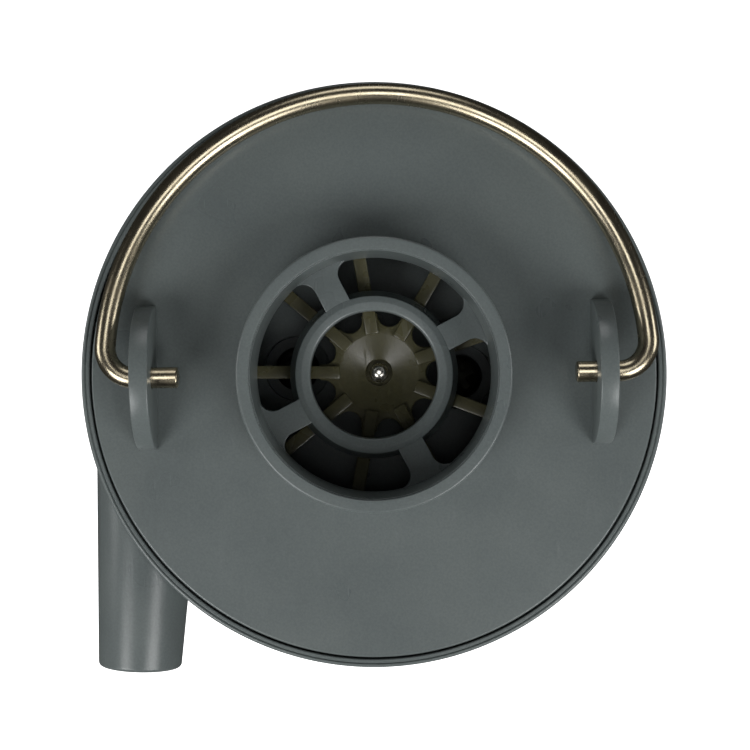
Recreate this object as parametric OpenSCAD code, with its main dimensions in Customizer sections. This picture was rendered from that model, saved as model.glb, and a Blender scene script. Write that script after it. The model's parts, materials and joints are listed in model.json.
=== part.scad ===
// Mini air pump with a lamp in its foot and a wire bail on its intake face.
// The Z axis is the axis of the body, with the resting face at height zero
// and the intake on top. The outlet lies on the left and points to the front.

/* [Body] */
// Height from the resting face to the intake face
body_h = 58; // [57:0.5:64]
// Outside diameter at the rim
rim_d = 57; // [56.8:0.2:62]
// How much the body narrows in radius from its rim to its foot
body_draft = 0.35; // [0.1:0.05:0.5]
// Wall of the body below the chamber
wall_t = 1.8; // [1.4:0.1:1.8]
// Wall of the body around the chamber
chamber_wall_t = 1.9; // [1.5:0.1:2.2]
// Width of the rim that frames the cover
rim_w = 0.8; // [0.6:0.05:1]
// Depth of the chamber floor below the intake face
chamber_drop = 11; // [10.8:0.1:12]
// Thickness of the chamber floor
floor_t = 2.4; // [2.2:0.1:2.8]

/* [Intake cover] */
// Thickness of the cover disc
cover_t = 2; // [1.6:0.1:2.2]
// Outside diameter of the intake collar
collar_d = 26; // [25:0.1:27]
// Height of the collar above the cover
collar_h = 6; // [4.5:0.1:8]
// Wall of the collar at its mouth
collar_wall = 1.35; // [1.1:0.05:1.6]
// How much the intake bore narrows in radius from its mouth to the grille
bore_draft = 0.15; // [0.05:0.01:0.25]

/* [Grille] */
// Number of spokes
spoke_n = 4; // [3:1:6]
// Width of a spoke
spoke_w = 2.65; // [2:0.05:3.2]
// Turn of the spokes from the right-hand side, in degrees
spoke_turn = 27; // [0:1:45]
// Radius of the flare where a spoke meets the bore
spoke_flare = 1.4; // [0.8:0.1:1.8]
// Outside diameter of the inner ring
ring_d = 15.5; // [14.5:0.1:16]
// Inside diameter of the inner ring
ring_bore_d = 12.5; // [12:0.1:13]
// Depth of the grille below the cover's face
grille_sink = 0.8; // [0.4:0.1:1]

/* [Bail] */
// Diameter of the bail's wire
wire_d = 2; // [1.6:0.1:2.2]
// Radius of the bail's bow, along the middle of the wire
bow_r = 25.9; // [25.6:0.1:26]
// Bend radius at the bail's two corners, along the middle of the wire
bend_r = 2.9; // [2.6:0.1:3.2]
// Height of the pivot above the cover
pivot_h = 3.6; // [3.2:0.1:4]
// Thickness of an ear
ear_t = 1.75; // [1.5:0.05:1.9]
// Radius of the half-round ear
ear_r = 7; // [6.4:0.1:7.4]
// Distance between the inner faces of the two ears
ear_span = 42.2; // [41.6:0.1:42.6]
// How far a pivot reaches in past its ear
pivot_reach = 2.2; // [1.6:0.1:2.8]

/* [Outlet] */
// Outside radius of the nozzle at its tip
nozzle_tip_r = 4.15; // [4:0.05:4.4]
// Draft of the nozzle, in degrees each side
nozzle_draft = 3; // [1:0.25:3]
// Lean of the nozzle away from the body, in degrees
nozzle_lean = 3.4; // [2.5:0.1:3.5]
// Bore radius of the nozzle
outlet_r = 3; // [2.6:0.1:3.2]
// Distance of the nozzle's tip in front of the body's axis
nozzle_reach = 29.1; // [29:0.1:31]
// Distance of the nozzle's tip to the left of the body's axis
nozzle_side = 24.1; // [23.9:0.1:24.1]

/* [Impeller] */
// Number of blades
blade_n = 9; // [7:1:9]
// Radius of the impeller
impeller_r = 23.8; // [22:0.1:24.2]
// Thickness of a blade
blade_t = 1.3; // [1:0.05:1.5]
// Height of a blade
blade_h = 6; // [5:0.1:6]
// Turn of the first blade from the right-hand side, in degrees
blade_turn = 19; // [0:1:39]
// Radius of the stepped eye
eye_r = 8; // [7.8:0.1:9]
// Depth of the step in the eye
eye_step = 1; // [0.6:0.1:1.4]

/* [Motor] */
// Diameter of the motor's can
motor_d = 24.4; // [23.4:0.1:24.6]
// Length of the can
can_l = 26.6; // [25.6:0.1:26.6]
// Diameter of the shaft
shaft_d = 2; // [1.8:0.1:2.3]
// Distance between the motor's two screws
screw_pitch = 17; // [16.6:0.1:17.2]
// Turn of the line through the screws, in degrees
motor_turn = -3.6; // [-10:0.2:10]
// How far the motor's axis stands to the right of the body's axis
motor_dx = 0.5; // [0.2:0.05:0.55]
// How far the motor's axis stands behind the body's axis
motor_dy = 0.2; // [0:0.05:0.3]

/* [Battery] */
// Diameter of a cell
cell_d = 13; // [12.4:0.1:13]
// Length of a cell
cell_l = 30; // [28:0.5:31]

/* [Controls] */
// Diameter of the power button
button_d = 8.6; // [7.6:0.1:9]
// How far the button stands proud of the body
button_proud = 0.8; // [0.6:0.1:1.2]
// Travel of the button
button_travel = 0.5; // [0.3:0.05:0.6]
// Direction in which the button faces, in degrees
button_turn = -50; // [-55:1:-45]
// Width of the charging port's cover
flap_w = 13.2; // [12.6:0.1:13.6]
// Height of the charging port's cover
flap_h = 6.8; // [6.4:0.1:7]

/* [Lamp] */
// Height of the ring around the lamp
foot_h = 6; // [5.6:0.1:6.4]
// Width of the ring around the lens
foot_w = 4; // [3.6:0.1:4.4]
// Thickness of the lens
lens_t = 1.6; // [1.2:0.1:2]
// Number of lamp chips
chip_n = 12; // [8:1:14]

/* [Hidden] */
$fn = 96;

// Overrun of a cut past the face that it opens
over = 1;
// Overlap of two features of one moulding
sink = 0.2;

// Fits
seam_gap = 0.2;
running_gap = 0.03;
pivot_gap = 0.07;
thread_gap = 0.03;
slip_gap = 0.15;
glue_gap = 0.05;
bail_rest_gap = 0.12;

// Levels and radii of the body
rim_r = rim_d / 2;
foot_r = rim_r - body_draft;
rim_in_r = rim_r - rim_w;
cover_r = rim_in_r - seam_gap;
chamber_r = rim_r - chamber_wall_t;
case_r = foot_r - wall_t;
ledge_z = body_h - cover_t;
floor_z = body_h - chamber_drop;
floor_under_z = floor_z - floor_t;
rim_round = 0.25;
groove_w = 0.14;
groove_deep = 0.12;
groove_in = 0.42;
floor_fillet = 0.8;

// Intake cover and grille
collar_r = collar_d / 2;
collar_top_z = body_h + collar_h;
mouth_r = collar_r - collar_wall;
bore_r = mouth_r - bore_draft;
mouth_step = 0.12;
mouth_step_deep = 0.3;
cover_edge = 0.22;
collar_edge = 0.15;
collar_fillet = 0.35;
grille_z = body_h - grille_sink;
ring_r = ring_d / 2;
ring_bore_r = ring_bore_d / 2;
ring_drop = 0.7;
ring_flare = 0.6;
ring_edge = 0.35;
flare_sink = 0.05;

// Bail
wire_r = wire_d / 2;
pivot_z = body_h + pivot_h;
ear_edge = 0.12;
bow_back = 1.3;
bail_slide = 0.3;
wire_end_edge = 0.2;
bend_swell = 0.02;
bend_lap = 2;
bail_drop = pivot_h - wire_r - bail_rest_gap;
bail_tilt = asin(bail_drop / (bow_back + bow_r));
corner_x = sqrt(pow(bow_r - bend_r, 2) - pow(bend_r - bow_back, 2));
corner_turn = atan2(bend_r - bow_back, corner_x);
pivot_end_x = ear_span / 2 - pivot_reach;

// Outlet
nozzle_z = (ledge_z + floor_z) / 2;
nozzle_l = nozzle_reach - outlet_r;
nozzle_root_r = nozzle_tip_r + nozzle_l * tan(nozzle_draft);
nozzle_round = 0.45;
mouth_chamfer = 0.3;

// Impeller
blade_top_gap = 1.4;
blade_top_z = ledge_z - blade_top_gap;
blade_z = blade_top_z - blade_h;
eye_z = blade_top_z - eye_step;
hub_r = 5.95;
notch_r = 1.25;
hub_sink = 0.45;
hub_z = eye_z - hub_sink;
dish_r = 3.9;
dish_deep = 0.7;
hub_under = 0.2;
hub_boss_r = 3.2;
hub_boss_drop = 0.6;
tip_proud = 0.9;
tip_pocket_r = 1.35;
tip_pocket_deep = 0.4;

// Motor
motor_r = motor_d / 2;
shaft_r = shaft_d / 2;
can_t = 0.9;
can_z = floor_under_z - can_l;
can_round = 1.2;
nose_r = 3;
nose_h = 1.6;
bell_t = 4.2;
bell_z = can_z - bell_t;
bell_lip = 1.6;
bell_floor = 1;
bell_pocket = 1.4;
bush_r = 2.2;
bush_l = 3;
magnet_t = 2.2;
magnet_l = 17;
magnet_arc = 140;
magnet_inset = 5;
core_r = 8.4;
core_l = 12;
core_drop = 6.5;
core_z = floor_under_z - core_drop - core_l;
pole_n = 3;
pole_w = 2.6;
shoe_t = 1.3;
shoe_arc = 100;
core_hub_r = 2.8;
coil_w = 6.4;
coil_over = 1.8;
commutator_r = 2.4;
commutator_l = 4;
commutator_t = 0.7;
commutator_z = core_z - 2 * coil_over - commutator_l;
segment_gap = 0.4;
sleeve_l = 7;
brush_w = 1.6;
brush_t = 1.2;
brush_gap = 0.04;
leaf_t = 0.3;
terminal_w = 2.4;
terminal_t = 0.4;
terminal_side = 8.4;
motor_screw_r = 1.3;
motor_screw_l = 3;
motor_head_r = 2.25;
motor_head_h = 1.7;
counterbore_r = 3.4;
counterbore_deep = 1;
cross_l = 2.3;
cross_w = 0.6;
cross_deep = 0.8;
cross_turn = 35;

// Lamp, boards and battery, from the resting face up
seam_z = foot_h;
lip_h = 1.2;
lip_t = 1.3;
bead_r = 0.25;
tray_z = seam_z + lip_h;
tray_t = 1.2;
stand_h = 0.8;
board_z = tray_z + tray_t + stand_h;
board_t = 1.2;
board_top_z = board_z + board_t;
board_gap = 0.7;
board_r = case_r - board_gap;
strap_t = 0.25;
strap_w = 5;
cell_r = cell_d / 2;
cell_z = board_top_z + strap_t;
cell_top_z = cell_z + cell_l;
cell_ring_r = case_r - seam_gap - cell_r;
cell_turns = [70, 110, 190, 230];
cell_round = 0.8;
cell_nub_r = 2.2;
cell_nub_h = 0.8;
pad_r = 5;
pad_bore_r = 2.6;
boss_turns = [30, 150, 270];
boss_r = 2.6;
boss_l = 14;
boss_ring_r = case_r - boss_r + sink;
case_screw_r = 1.1;
case_screw_l = 10;
case_head_r = 2.1;
case_head_h = 1.5;
head_room = 0.5;
head_arc = 2 * asin((case_head_r + head_room) / boss_ring_r);
chip_board_r = 20;
chip_board_t = 1.2;
chip_board_z = tray_z - chip_board_t;
chip_ring_r = 15;
chip_l = 3.5;
chip_w = 2.8;
chip_t = 0.7;
pin_r = 0.35;
pin_pitch = 2.54;
pin_n = 3;
lens_flange = 1;
lens_z = lens_flange + glue_gap;
lens_seat_gap = 0.1;
foot_round = 0.9;
foot_in_r = foot_r - foot_w;
lens_r = foot_r - foot_w / 2;

// Charging port, on the right-hand side
socket_w = 8.9;
socket_h = 3.2;
socket_l = 7.3;
socket_t = 0.3;
socket_back_t = 0.6;
socket_tongue_t = 0.7;
socket_tongue_w = 6.4;
socket_tongue_l = 6;
socket_back = 0.36;
socket_front = case_r - socket_back;
socket_z = board_top_z + socket_h / 2;
slot_gap = 0.5;
flap_t = 1;
flap_gap = 0.2;
flap_relief = 1.5;
flap_out_r = foot_r + body_draft * (socket_z - seam_z) / (body_h - seam_z);
flap_in_r = flap_out_r - flap_t;
flap_axis_in = 0.9;
flap_axis_r = flap_out_r - flap_axis_in;
flap_turn = 16.2;
knuckle_r = 0.8;
knuckle_in = 0.3;
knuckle_l = flap_h - 2 * knuckle_in;
flap_pin_r = 0.5;
flap_pin_l = 0.9;
tongue_w = 8.2;
tongue_h = 2.4;
tongue_l = 0.9;

// Power button and its switch
button_r = button_d / 2;
button_rise = 3.9;
button_z = board_top_z + button_rise;
button_out_r = foot_r + body_draft * (button_z - seam_z) / (body_h - seam_z);
button_face = button_out_r + button_proud;
flange_over = 0.8;
flange_r = button_r + flange_over;
flange_t = 0.9;
flange_out = sqrt(pow(case_r, 2) - pow(flange_r, 2)) - slip_gap;
stem_r = 1.6;
stem_l = 2;
plunger_r = 1.5;
plunger_l = 2.6;
plunger_end = flange_out - flange_t - stem_l;
plunger_proud = 1.4;
switch_w = 6;
switch_t = 3.5;
switch_front = plunger_end - plunger_proud;
switch_h = button_z - board_top_z + switch_w / 2;
button_dish = 0.35;
button_edge = 0.3;
board_notch_x = flange_out - flange_t - button_travel - slip_gap;
board_notch_w = 2 * sqrt(pow(flange_r + slip_gap, 2) - pow(button_rise, 2));

plastic = "#63696a";
nylon = "#8f8c76";

// Places its children on the motor's axis, turned as the motor stands
module at_motor() {
    translate([motor_dx, motor_dy, 0]) rotate([0, 0, motor_turn]) children();
}

// Repeats its children n times around the Z axis
module around(n, turn = 0) {
    for (i = [0 : n - 1]) rotate([0, 0, turn + i * 360 / n]) children();
}

// Lays its children, built upright, along the radius that faces turn degrees
module facing(turn, z) {
    rotate([0, 0, turn]) translate([0, 0, z]) rotate([0, 90, 0]) children();
}

// A straight tube from height z
module tube(out_r, in_r, z, h) {
    translate([0, 0, z]) difference() {
        cylinder(r = out_r, h = h);
        translate([0, 0, -over]) cylinder(r = in_r, h = h + 2 * over);
    }
}

// Half outline of a round bar with a rounded end, for rotate_extrude
module round_end_2d(r, l, fillet) {
    square([r, l - fillet]);
    square([r - fillet, l]);
    translate([r - fillet, l - fillet]) circle(r = fillet);
}

// A bar with a stadium cross-section in Y and Z, along X
module stadium(l, w, h) {
    rotate([90, 0, 90]) linear_extrude(l) {
        square([w - h, h], center = true);
        for (s = [-1, 1]) translate([s * (w - h) / 2, 0]) circle(d = h);
    }
}

// The places of the two motor screws
module at_motor_screws() {
    at_motor() for (s = [-1, 1]) translate([s * screw_pitch / 2, 0, 0]) children();
}

// The places of the case screws and of the bosses that take them
module at_bosses() {
    for (a = boss_turns) rotate([0, 0, a]) translate([boss_ring_r, 0, 0]) children();
}

// The axis of the nozzle, with its tip at z = 0 and the body at negative z
module at_nozzle() {
    translate([-nozzle_side, -nozzle_reach, nozzle_z])
        rotate([90, 0, -nozzle_lean]) children();
}

module nozzle_outside() {
    at_nozzle() translate([0, 0, -nozzle_l]) rotate_extrude() {
        polygon([[0, 0], [nozzle_root_r, 0], [nozzle_tip_r, nozzle_l - nozzle_round],
            [nozzle_tip_r - nozzle_round, nozzle_l], [0, nozzle_l]]);
        translate([nozzle_tip_r - nozzle_round, nozzle_l - nozzle_round])
            circle(r = nozzle_round);
    }
}

// The air way from the chamber to the nozzle's tip
module nozzle_bore() {
    at_nozzle() {
        translate([0, 0, -nozzle_l]) cylinder(r = outlet_r, h = nozzle_l + over);
        translate([0, 0, -mouth_chamfer])
            cylinder(r1 = outlet_r, r2 = outlet_r + mouth_chamfer + over,
                h = mouth_chamfer + over);
    }
}

// Outer wall, chamber floor and rim as one turned outline
module housing_outline() {
    groove_r = rim_r - groove_in;
    polygon([
        [foot_r, seam_z],
        [rim_r, body_h - rim_round],
        [rim_r - rim_round, body_h],
        [groove_r + groove_w / 2, body_h],
        [groove_r, body_h - groove_deep],
        [groove_r - groove_w / 2, body_h],
        [rim_in_r, body_h],
        [rim_in_r, floor_under_z],
        [case_r, floor_under_z],
        [case_r, seam_z]]);
    translate([0, floor_under_z]) square([rim_in_r, floor_t]);
}

// The chamber with a filleted foot, and the rebate that takes the cover
module chamber_space() {
    chamber_h = body_h - floor_z + over;
    translate([0, 0, floor_z]) rotate_extrude() {
        translate([0, floor_fillet]) square([chamber_r, chamber_h - floor_fillet]);
        square([chamber_r - floor_fillet, chamber_h]);
        translate([chamber_r - floor_fillet, floor_fillet]) circle(r = floor_fillet);
    }
    translate([0, 0, ledge_z]) cylinder(r = rim_in_r, h = cover_t + over);
}

// Space that the port cover lies in, with its pin holes
module flap_space(gap) {
    flap_shell(gap);
    at_flap_axis() {
        cylinder(r = knuckle_r + gap, h = flap_h + gap, center = true);
        cylinder(r = flap_pin_r + pivot_gap, h = flap_h + 2 * flap_pin_l + 2 * gap,
            center = true);
    }
}

module at_flap_axis() {
    rotate([0, 0, flap_turn]) translate([flap_axis_r, 0, socket_z]) children();
}

// A piece of the body's skin between the port cover's two ends; the space for it
// runs on past the hinge, where the cover's end swings
module flap_shell(gap) {
    flap_end_y = flap_axis_r * sin(flap_turn);
    relief = gap > 0 ? flap_relief : 0;
    intersection() {
        tube(flap_out_r + (gap > 0 ? over : 0), flap_in_r - gap, socket_z - flap_h,
            2 * flap_h);
        translate([0, flap_end_y - flap_w - gap, socket_z - flap_h / 2 - gap])
            cube([rim_r + over, flap_w + gap + relief, flap_h + 2 * gap]);
    }
}

// Body moulding, open at its foot, with the chamber, the nozzle and the bosses
module housing() {
    color(plastic) difference() {
        union() {
            difference() {
                union() {
                    rotate_extrude() housing_outline();
                    nozzle_outside();
                }
                chamber_space();
                translate([0, 0, seam_z - over])
                    cylinder(r = case_r, h = floor_under_z - seam_z + over);
            }
            difference() {
                at_bosses() translate([0, 0, board_top_z]) cylinder(r = boss_r, h = boss_l);
                tube(rim_r + over, case_r + sink, 0, body_h);
            }
        }
        nozzle_bore();
        at_motor() translate([0, 0, floor_under_z - over])
            cylinder(r = nose_r + slip_gap, h = floor_t + 2 * over);
        at_motor_screws() {
            translate([0, 0, floor_under_z - over])
                cylinder(r = motor_screw_r + slip_gap, h = floor_t + 2 * over);
            translate([0, 0, floor_z - counterbore_deep])
                cylinder(r = counterbore_r, h = counterbore_deep + over);
        }
        at_bosses() translate([0, 0, board_top_z - over])
            cylinder(r = case_screw_r + thread_gap, h = case_screw_l + over);
        translate([0, 0, seam_z + lip_h / 2]) rotate_extrude()
            translate([case_r, 0]) circle(r = bead_r + slip_gap);
        facing(button_turn, button_z)
            cylinder(r = button_r + slip_gap, h = rim_r + over);
        translate([case_r / 2, 0, socket_z])
            stadium(case_r, socket_w + 2 * slot_gap, socket_h + 2 * slot_gap);
        flap_space(flap_gap);
    }
}

// Outline of the cover disc and collar; the bore narrows towards the grille
module cover_outline() {
    polygon([
        [bore_r, ledge_z],
        [cover_r, ledge_z],
        [cover_r, body_h - cover_edge],
        [cover_r - cover_edge, body_h],
        [collar_r + collar_fillet, body_h],
        [collar_r, body_h + collar_fillet],
        [collar_r, collar_top_z - collar_edge],
        [collar_r - collar_edge, collar_top_z],
        [mouth_r + mouth_step, collar_top_z],
        [mouth_r + mouth_step, collar_top_z - mouth_step_deep],
        [mouth_r, collar_top_z - mouth_step_deep],
        [bore_r, grille_z]]);
}

// One opening of the grille between two spokes; its outer corners are round
module grille_slot() {
    step = 360 / spoke_n;
    side = spoke_w / 2;
    far = bore_r / cos(step / 2) + over;
    along = sqrt(pow(bore_r - spoke_flare + flare_sink, 2) - pow(side + spoke_flare, 2));
    lean = atan2(side + spoke_flare, along);
    difference() {
        polygon([[side / tan(step / 2), side], [far + side, side],
            [far * cos(step / 2), far * sin(step / 2)]]);
        circle(r = ring_r - sink);
        polygon([[along, side + spoke_flare], [along, 0], [far, 0],
            [far * cos(lean), far * sin(lean)]]);
    }
    translate([along, side + spoke_flare]) circle(r = spoke_flare);
}

module grille() {
    translate([0, 0, ledge_z]) linear_extrude(grille_z - ledge_z) difference() {
        circle(r = bore_r + sink);
        for (i = [0 : spoke_n - 1]) rotate(spoke_turn + i * 360 / spoke_n) {
            grille_slot();
            rotate(360 / spoke_n) mirror([0, 1]) grille_slot();
        }
        circle(r = ring_bore_r + sink);
    }
    rotate_extrude() polygon([
        [ring_bore_r, ledge_z - ring_drop],
        [ring_r + ring_flare, ledge_z - ring_drop],
        [ring_r, (ledge_z + grille_z) / 2],
        [ring_r, grille_z],
        [ring_r - ring_edge, grille_z + ring_edge / 2],
        [ring_bore_r + ring_edge, grille_z + ring_edge / 2],
        [ring_bore_r, grille_z - ring_edge]]);
}

// Half-round ear with its edges broken, standing on the cover
module ear() {
    translate([ear_span / 2, 0, body_h]) rotate([90, 0, 90])
        rotate_extrude(angle = 180) polygon([
            [0, 0], [ear_r - ear_edge, 0], [ear_r, ear_edge],
            [ear_r, ear_t - ear_edge], [ear_r - ear_edge, ear_t], [0, ear_t]]);
    translate([ear_span / 2, -ear_r + ear_edge, body_h - sink])
        cube([ear_t, 2 * (ear_r - ear_edge), 2 * sink]);
}

// The hole through one ear
module pivot_hole() {
    translate([ear_span / 2 - over, 0, pivot_z]) rotate([0, 90, 0])
        cylinder(r = wire_r + pivot_gap, h = ear_t + 2 * over);
}

module intake_cover() {
    color(plastic) difference() {
        union() {
            rotate_extrude() cover_outline();
            grille();
            ear();
            mirror([1, 0, 0]) ear();
        }
        pivot_hole();
        mirror([1, 0, 0]) pivot_hole();
    }
}

// A bend in the bail's plane, of wire with the radius thick
module wire_bend(r, thick, start, end) {
    rotate_extrude(angle = end - start, start = start) translate([r, 0]) circle(r = thick);
}

// Bow, two tight corners that swell a little, and the straight pivots
module bail() {
    color("#b9b2a2") translate([bail_slide, 0, pivot_z]) rotate([-bail_tilt, 0, 0]) {
        translate([0, bow_back, 0])
            wire_bend(bow_r, wire_r, corner_turn, 180 - corner_turn);
        for (s = [-1, 1]) translate([s * corner_x, 0, 0]) {
            translate([0, bend_r, 0]) rotate([0, s > 0 ? 0 : 180, 0])
                wire_bend(bend_r, wire_r + bend_swell, -90 - bend_lap,
                    corner_turn + bend_lap);
            rotate([0, -90 * s, 0]) rotate_extrude()
                round_end_2d(wire_r, corner_x - pivot_end_x, wire_end_edge);
        }
    }
}

module blade(from_r, z, top_z) {
    translate([from_r, -blade_t / 2, z])
        cube([impeller_r - from_r, blade_t, top_z - z]);
}

// Straight radial blades on a hub that is scalloped between them
module impeller() {
    notch_turn = blade_turn - motor_turn + 180 / blade_n;
    color(nylon) at_motor() difference() {
        union() {
            around(blade_n, blade_turn - motor_turn) {
                blade(eye_r, blade_z, blade_top_z);
                blade(dish_r, blade_z, eye_z);
            }
            translate([0, 0, blade_z - hub_under])
                cylinder(r = hub_r, h = hub_z - blade_z + hub_under);
            translate([0, 0, blade_z - hub_boss_drop])
                cylinder(r = hub_boss_r, h = hub_boss_drop);
        }
        around(blade_n, notch_turn) translate([hub_r, 0, blade_z - over])
            cylinder(r = notch_r, h = blade_h + 2 * over);
        translate([0, 0, hub_z - dish_deep])
            cylinder(r1 = tip_pocket_r, r2 = dish_r, h = dish_deep);
        translate([0, 0, hub_z]) cylinder(r = dish_r, h = eye_z - hub_z + over);
        translate([0, 0, hub_z - dish_deep - tip_pocket_deep])
            cylinder(r = tip_pocket_r, h = tip_pocket_deep + over);
        translate([0, 0, blade_z - hub_boss_drop - over])
            cylinder(r = shaft_r + thread_gap, h = blade_h + 2 * over);
    }
}

module motor_shaft() {
    tip_z = hub_z - dish_deep + tip_proud;
    tail_z = bell_z + bell_floor;
    color("#c9c6bd") at_motor() translate([0, 0, tail_z]) rotate_extrude() {
        square([shaft_r, tip_z - tail_z - shaft_r]);
        intersection() {
            translate([0, tip_z - tail_z - shaft_r]) circle(r = shaft_r);
            square([shaft_r, tip_z - tail_z]);
        }
    }
}

// Drawn steel can, open at the end bell, with a nose for the front bush
module motor_can() {
    color("#a9a9a5") at_motor() difference() {
        translate([0, 0, can_z]) rotate_extrude() {
            round_end_2d(motor_r, can_l, can_round);
            square([nose_r, can_l + nose_h]);
        }
        translate([0, 0, can_z - over])
            cylinder(r = motor_r - can_t, h = can_l - can_t + over);
        translate([0, 0, can_z]) cylinder(r = bush_r + glue_gap, h = can_l + nose_h - can_t / 2);
        translate([0, 0, can_z]) cylinder(r = shaft_r + slip_gap, h = can_l + nose_h + over);
        for (s = [-1, 1]) translate([s * screw_pitch / 2, 0, floor_under_z - can_t - over])
            cylinder(r = motor_screw_r + thread_gap, h = can_t + 2 * over);
    }
}

module motor_end_bell() {
    lip_r = motor_r - can_t - glue_gap;
    color("#d8d6cc") at_motor() difference() {
        union() {
            translate([0, 0, bell_z]) rotate_extrude()
                translate([0, bell_t]) mirror([0, 1]) round_end_2d(motor_r, bell_t, can_t);
            translate([0, 0, can_z - sink]) cylinder(r = lip_r, h = bell_lip + sink);
        }
        translate([0, 0, can_z - bell_pocket])
            cylinder(r = lip_r - can_t, h = bell_lip + bell_t);
        translate([0, 0, bell_z + bell_floor]) cylinder(r = bush_r + glue_gap, h = bell_t);
        for (s = [-1, 1]) translate([s * terminal_side, 0, bell_z])
            cube([terminal_t + 2 * glue_gap, terminal_w + 2 * glue_gap, 2 * bell_t],
                center = true);
    }
}

module motor_magnets() {
    out_r = motor_r - can_t - glue_gap;
    color("#4a4a4c") at_motor()
        for (s = [0, 180]) rotate([0, 0, s - magnet_arc / 2])
            translate([0, 0, can_z + magnet_inset]) rotate_extrude(angle = magnet_arc)
                translate([out_r - magnet_t, 0]) square([magnet_t, magnet_l]);
}

// Lamination with its poles and their shoes, as a flat outline
module core_2d() {
    difference() {
        union() {
            circle(r = core_hub_r);
            for (i = [0 : pole_n - 1]) rotate(i * 360 / pole_n) {
                translate([0, -pole_w / 2]) square([core_r - shoe_t / 2, pole_w]);
                intersection() {
                    difference() {
                        circle(r = core_r);
                        circle(r = core_r - shoe_t);
                    }
                    polygon([[0, 0],
                        [2 * core_r, -2 * core_r * tan(shoe_arc / 2)],
                        [2 * core_r, 2 * core_r * tan(shoe_arc / 2)]]);
                }
            }
        }
        circle(r = shaft_r + thread_gap);
    }
}

module armature_core() {
    color("#8a8a88") at_motor() translate([0, 0, core_z]) linear_extrude(core_l) core_2d();
}

// One coil round each pole, with the end turns past the core
module armature_windings() {
    in_x = core_hub_r + coil_over / 2;
    out_x = core_r - shoe_t - coil_over / 2;
    color("#b5703a") at_motor() around(pole_n)
        translate([in_x, 0, core_z]) difference() {
            translate([0, -coil_w / 2, -coil_over])
                cube([out_x - in_x, coil_w, core_l + 2 * coil_over]);
            translate([-over, -pole_w / 2 - glue_gap, -glue_gap])
                cube([out_x - in_x + 2 * over, pole_w + 2 * glue_gap, core_l + 2 * glue_gap]);
        }
}

// Copper segments, parted by gaps that face the spaces between the poles
module commutator() {
    color("#b9824a") at_motor() translate([0, 0, commutator_z])
        linear_extrude(commutator_l) difference() {
            circle(r = commutator_r);
            circle(r = commutator_r - commutator_t);
            for (i = [0 : pole_n - 1]) rotate((i + 1 / 2) * 360 / pole_n)
                translate([0, -segment_gap / 2])
                    square([commutator_r + over, segment_gap]);
        }
}

module commutator_sleeve() {
    color("#6d3b22") at_motor() {
        tube(commutator_r - commutator_t, shaft_r + thread_gap, commutator_z, sleeve_l);
    }
}

module front_bush() {
    bush_z = floor_under_z + nose_h - can_t / 2 - bush_l;
    color("#a98a55") at_motor() tube(bush_r, shaft_r + running_gap, bush_z, bush_l);
}

module rear_bush() {
    color("#a98a55") at_motor()
        tube(bush_r, shaft_r + running_gap, bell_z + bell_floor, bush_l);
}

// Carbon blocks on their leaves, one on each side of the commutator
module motor_brushes() {
    leaf_z = can_z - bell_pocket;
    leaf_x = commutator_r + brush_gap + brush_t;
    color("#3a3a3c") at_motor() around(2) {
        translate([commutator_r + brush_gap, -brush_w / 2, commutator_z + brush_w / 2])
            cube([brush_t, brush_w, brush_w]);
        translate([leaf_x, -brush_w / 2, leaf_z])
            cube([leaf_t, brush_w, commutator_z + 2 * brush_w - leaf_z]);
    }
}

// Brass strips from the brush leaves down into the board
module motor_terminals() {
    foot_z = board_z - terminal_t;
    inner_z = can_z - bell_pocket;
    inner_x = commutator_r + brush_gap + brush_t + leaf_t;
    color("#c8b27a") at_motor() around(2) {
        translate([terminal_side - terminal_t / 2, -terminal_w / 2, foot_z])
            cube([terminal_t, terminal_w, inner_z + terminal_t - foot_z]);
        translate([inner_x, -terminal_w / 2, inner_z])
            cube([terminal_side - inner_x, terminal_w, terminal_t]);
    }
}

// Pan head with a cross recess, on a plain shank
module screw(r, l, head_r, head_h) {
    translate([0, 0, -l]) cylinder(r = r, h = l + sink);
    difference() {
        rotate_extrude() round_end_2d(head_r, head_h, head_h / 2);
        for (a = [0, 90]) rotate([0, 0, a])
            translate([-cross_l / 2, -cross_w / 2, head_h - cross_deep])
                cube([cross_l, cross_w, cross_deep + over]);
    }
}

module motor_screws() {
    color("#8b8b88") at_motor_screws()
        translate([0, 0, floor_z - counterbore_deep]) rotate([0, 0, cross_turn])
            screw(motor_screw_r, motor_screw_l, motor_head_r, motor_head_h);
}

module case_screws() {
    color("#8b8b88") at_bosses() translate([0, 0, tray_z]) rotate([180, 0, 0])
        screw(case_screw_r, case_screw_l, case_head_r, case_head_h);
}

// Lithium cell in a shrink sleeve, standing on its strap
module battery_cell(i) {
    color("#3d6f9e") rotate([0, 0, cell_turns[i]]) translate([cell_ring_r, 0, cell_z]) {
        rotate_extrude() {
            round_end_2d(cell_r, cell_l - cell_nub_h, cell_round);
            square([cell_nub_r, cell_l]);
        }
    }
}

// Nickel strips that join each pair of cells at the top and the foot
module cell_straps() {
    pair_x = cell_ring_r * cos((cell_turns[1] - cell_turns[0]) / 2);
    pair_y = cell_ring_r * sin((cell_turns[1] - cell_turns[0]) / 2);
    color("#c4c4c0") for (pair = [0, 2], z = [board_top_z, cell_top_z])
        rotate([0, 0, (cell_turns[pair] + cell_turns[pair + 1]) / 2])
            translate([pair_x - strap_w / 2, -pair_y - strap_w / 2, z])
                cube([strap_w, 2 * pair_y + strap_w, strap_t]);
}

// Foam discs that hold the cells down from the chamber floor
module cell_pads() {
    pad_z = cell_top_z + strap_t;
    color("#2f2f31") for (a = cell_turns) rotate([0, 0, a]) translate([cell_ring_r, 0, 0])
        tube(pad_r, pad_bore_r, pad_z, floor_under_z - pad_z);
}

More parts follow.
